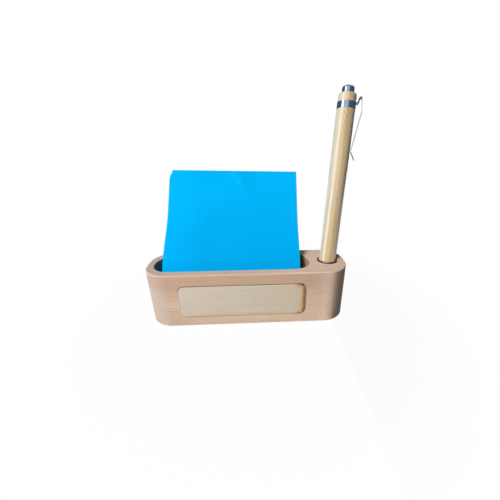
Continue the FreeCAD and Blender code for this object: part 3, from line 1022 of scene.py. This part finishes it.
def light_path(finish):
    """1 for what the camera, bright metal and glass see, and 0 for light on the object."""
    camera, glossy, glass = [
        finish.node("ShaderNodeLightPath", {}, {}, f"Is {kind} Ray")
        for kind in ("Camera", "Glossy", "Transmission")]
    return camera.most(glossy).most(glass)


def emission(finish, paint, strength):
    return finish.node("ShaderNodeEmission", {}, {"Color": paint, "Strength": strength})


def floor_paint():
    """White floor that keeps a soft shadow near the object and is plain white further off."""
    finish = new_finish("floor_paint")
    place = finish.place()
    reach = (place.part("X") ** 2.0 + place.part("Y") ** 2.0) ** 0.5 / MM
    shade = FLOOR_SHADE * reach.step(*FLOOR_SHADE_FADE)
    seen = light_path(finish) * (1.0 - FLOOR_SHADE + shade)
    paint = finish.blend(finish.noise(place, scale=60.0), FLOOR_PALE, FLOOR_PALER)
    matt = finish.node("ShaderNodeBsdfDiffuse", {}, {"Color": paint})
    white = emission(finish, WHITE, 1.0)
    return finish.output(finish.node("ShaderNodeMixShader", {}, {0: seen, 1: matt, 2: white}))


def cloth_paint(name, strength):
    """Dark blue cloth, slightly folded, whose faint glow stands in for its lit look."""
    finish = new_finish(name)
    folds = finish.noise(finish.place().stretched(5, 5, 0.8), detail=2.0).step(0.35, 0.65)
    return finish.output(emission(finish, finish.blend(folds, CLOTH_DARK, CLOTH_LIGHT), strength))


def card_paint(strength):
    """White card that glows as a stand-in for the key lamp in bright surfaces, with the slight
    unevenness of a lit surface.
    """
    finish = new_finish("studio_card")
    glow = finish.noise(finish.place().stretched(3, 3, 1), detail=1.0)
    return finish.output(emission(finish, finish.blend(glow, CARD_COOL, WHITE), strength))


def add_circle(name, points, radius, height, fill):
    """A level circle round the origin, filled by one face or left as an outline."""
    clear_selection()
    bpy.ops.mesh.primitive_circle_add(
        vertices=points, radius=radius, fill_type=fill, location=(0, 0, height))
    circle = bpy.context.object
    circle.name = name
    return circle


def add_floor():
    floor = add_circle("floor", 96, FLOOR_RADIUS, 0, "NGON")
    floor.data.materials.append(floor_paint())


def add_key_lamp(watts):
    """One broad lamp at the left front, which bright surfaces don't show."""
    data = bpy.data.lights.new("key_lamp", "AREA")
    data.shape = "RECTANGLE"
    data.size, data.size_y = KEY_SIZE
    data.energy = watts
    lamp = bpy.data.objects.new("key_lamp", data)
    bpy.context.scene.collection.objects.link(lamp)
    lamp.location = KEY_PLACE
    lamp.rotation_euler = (KEY_TARGET - KEY_PLACE).to_track_quat("-Z", "Y").to_euler()
    lamp.visible_glossy = False


def bearing(spot):
    """Degrees from the front, round by the right, from 0 to 360."""
    return math.degrees(math.atan2(spot.x, -spot.y)) % 360


def add_ring(name, radius, start, end, paint):
    """Part of a ring round the object, between two bearings, which only bright surfaces show."""
    ring = add_circle(name, 180, radius, 0, "NOTHING")
    bpy.ops.object.mode_set(mode="EDIT")
    bpy.ops.mesh.select_mode(type="VERT")
    bpy.ops.mesh.select_all(action="SELECT")
    bpy.ops.mesh.extrude_region_move(TRANSFORM_OT_translate={"value": (0, 0, RING_HEIGHT)})
    select_faces(ring, lambda centre: not start < bearing(centre) < end)
    bpy.ops.mesh.delete(type="FACE")
    bpy.ops.object.mode_set(mode="OBJECT")
    for_reflections_only(ring, paint)


def add_ceiling():
    """A round cloth ceiling, which bright surfaces show above the rings."""
    ceiling = add_circle("studio_ceiling", 72, CEILING_RADIUS, CEILING_HEIGHT, "NGON")
    for_reflections_only(ceiling, cloth_paint("studio_ceiling", CEILING_GLOW))


def for_reflections_only(stage_piece, paint):
    stage_piece.data.materials.append(paint)
    stage_piece.visible_camera = False
    stage_piece.visible_diffuse = False
    stage_piece.visible_shadow = False


def add_flag():
    """A black flag beside and under the block's right end, which keeps light off it."""
    clear_selection()
    bpy.ops.mesh.primitive_plane_add(size=1.0, location=FLAG_MIDDLE)
    flag = begin("studio_flag", (FLAG_WIDTH, FLAG_LENGTH, 1.0))
    select_edges(flag, lambda a, b: min(a.x, b.x) > FLAG_MIDDLE[0])
    bpy.ops.mesh.extrude_region_move(TRANSFORM_OT_translate={"value": (0, 0, FLAG_HEIGHT)})
    bpy.ops.object.mode_set(mode="OBJECT")
    flag.data.materials.append(cloth_paint("studio_flag", FLAG_GLOW))
    flag.visible_camera = False
    flag.visible_glossy = False
    flag.visible_transmission = False


def add_sky(strength):
    """Even light from all round, which the camera and bright surfaces see as plain white."""
    world = bpy.data.worlds.new("studio_sky")
    bpy.context.scene.world = world
    sky = Finish(world)
    glow, white = [
        sky.node("ShaderNodeBackground", {}, {"Color": WHITE, "Strength": level})
        for level in (strength, 1.0)]
    both = sky.node("ShaderNodeMixShader", {}, {0: light_path(sky), 1: glow, 2: white})
    sky.output(both, "ShaderNodeOutputWorld")


def camera_turn():
    """Turns the camera by its yaw to the right, its pitch downwards and its roll."""
    level = Vector((math.cos(CAMERA_YAW), -math.sin(CAMERA_YAW), 0.0))
    ahead = Vector((
        math.sin(CAMERA_YAW) * math.cos(CAMERA_PITCH),
        math.cos(CAMERA_YAW) * math.cos(CAMERA_PITCH),
        -math.sin(CAMERA_PITCH)))
    over = level.cross(ahead)
    right = math.cos(CAMERA_ROLL) * level + math.sin(CAMERA_ROLL) * over
    upward = -math.sin(CAMERA_ROLL) * level + math.cos(CAMERA_ROLL) * over
    return Matrix((right, upward, -ahead)).transposed().to_4x4()


def add_camera(lens):
    data = bpy.data.cameras.new("camera")
    data.sensor_width = SENSOR_WIDTH
    data.sensor_fit = "HORIZONTAL"
    data.lens = lens
    data.shift_x = -AXIS_RIGHT / RENDER_WIDTH
    data.shift_y = AXIS_DOWN / RENDER_WIDTH
    data.clip_start = 10 * MM
    camera = bpy.data.objects.new("camera", data)
    camera.matrix_world = Matrix.Translation(CAMERA_PLACE) @ camera_turn()
    bpy.context.scene.collection.objects.link(camera)
    bpy.context.scene.camera = camera


class HOLDER_OT_stage(bpy.types.Operator):
    """Set up the floor, the lamp, the reflections, the sky and the camera"""

    bl_idname = "memo_holder.stage"
    bl_label = "Studio"

    def execute(self, context):
        studio = context.scene.memo_holder.studio
        add_floor()
        add_key_lamp(studio.key)
        add_ring("studio_cloth", *CLOTH_RING, cloth_paint("studio_cloth", 1.0))
        add_ring("studio_card", *CARD_RING, card_paint(studio.card))
        add_ceiling()
        add_flag()
        add_sky(studio.sky)
        add_camera(studio.lens)
        context.scene.view_settings.view_transform = "Standard"
        return {"FINISHED"}


# ---- Add-on -----------------------------------------------------------------------------------

class HOLDER_PT_panel(bpy.types.Panel):
    """Buttons and settings of the memo and pen holder"""

    bl_label = "Memo and Pen Holder"
    bl_idname = "HOLDER_PT_panel"
    bl_space_type = "VIEW_3D"
    bl_region_type = "UI"
    bl_category = "Memo Holder"

    def draw(self, context):
        settings = context.scene.memo_holder
        for operator in STEPS:
            self.layout.operator(operator.bl_idname)
        for group in (settings.slips, settings.plate, settings.colours, settings.studio):
            box = self.layout.box()
            for name in group.bl_rna.properties.keys():
                if name not in ("rna_type", "name"):
                    box.prop(group, name)


STEPS = (HOLDER_OT_block, HOLDER_OT_stack, HOLDER_OT_top_slip, HOLDER_OT_plate, HOLDER_OT_pen,
         HOLDER_OT_stage)
CLASSES = (SlipSettings, PlateSettings, ColourSettings, StudioSettings, HolderSettings, *STEPS,
           HOLDER_PT_panel)


def register():
    for made in CLASSES:
        bpy.utils.register_class(made)
    bpy.types.Scene.memo_holder = bpy.props.PointerProperty(type=HolderSettings)


def unregister():
    del bpy.types.Scene.memo_holder
    for made in reversed(CLASSES):
        bpy.utils.unregister_class(made)


def main():
    register()
    bpy.ops.memo_holder.block()
    bpy.ops.memo_holder.stack()
    bpy.ops.memo_holder.top_slip()
    bpy.ops.memo_holder.plate()
    bpy.ops.memo_holder.pen()
    bpy.ops.memo_holder.stage()


if __name__ == "__main__":
    main()
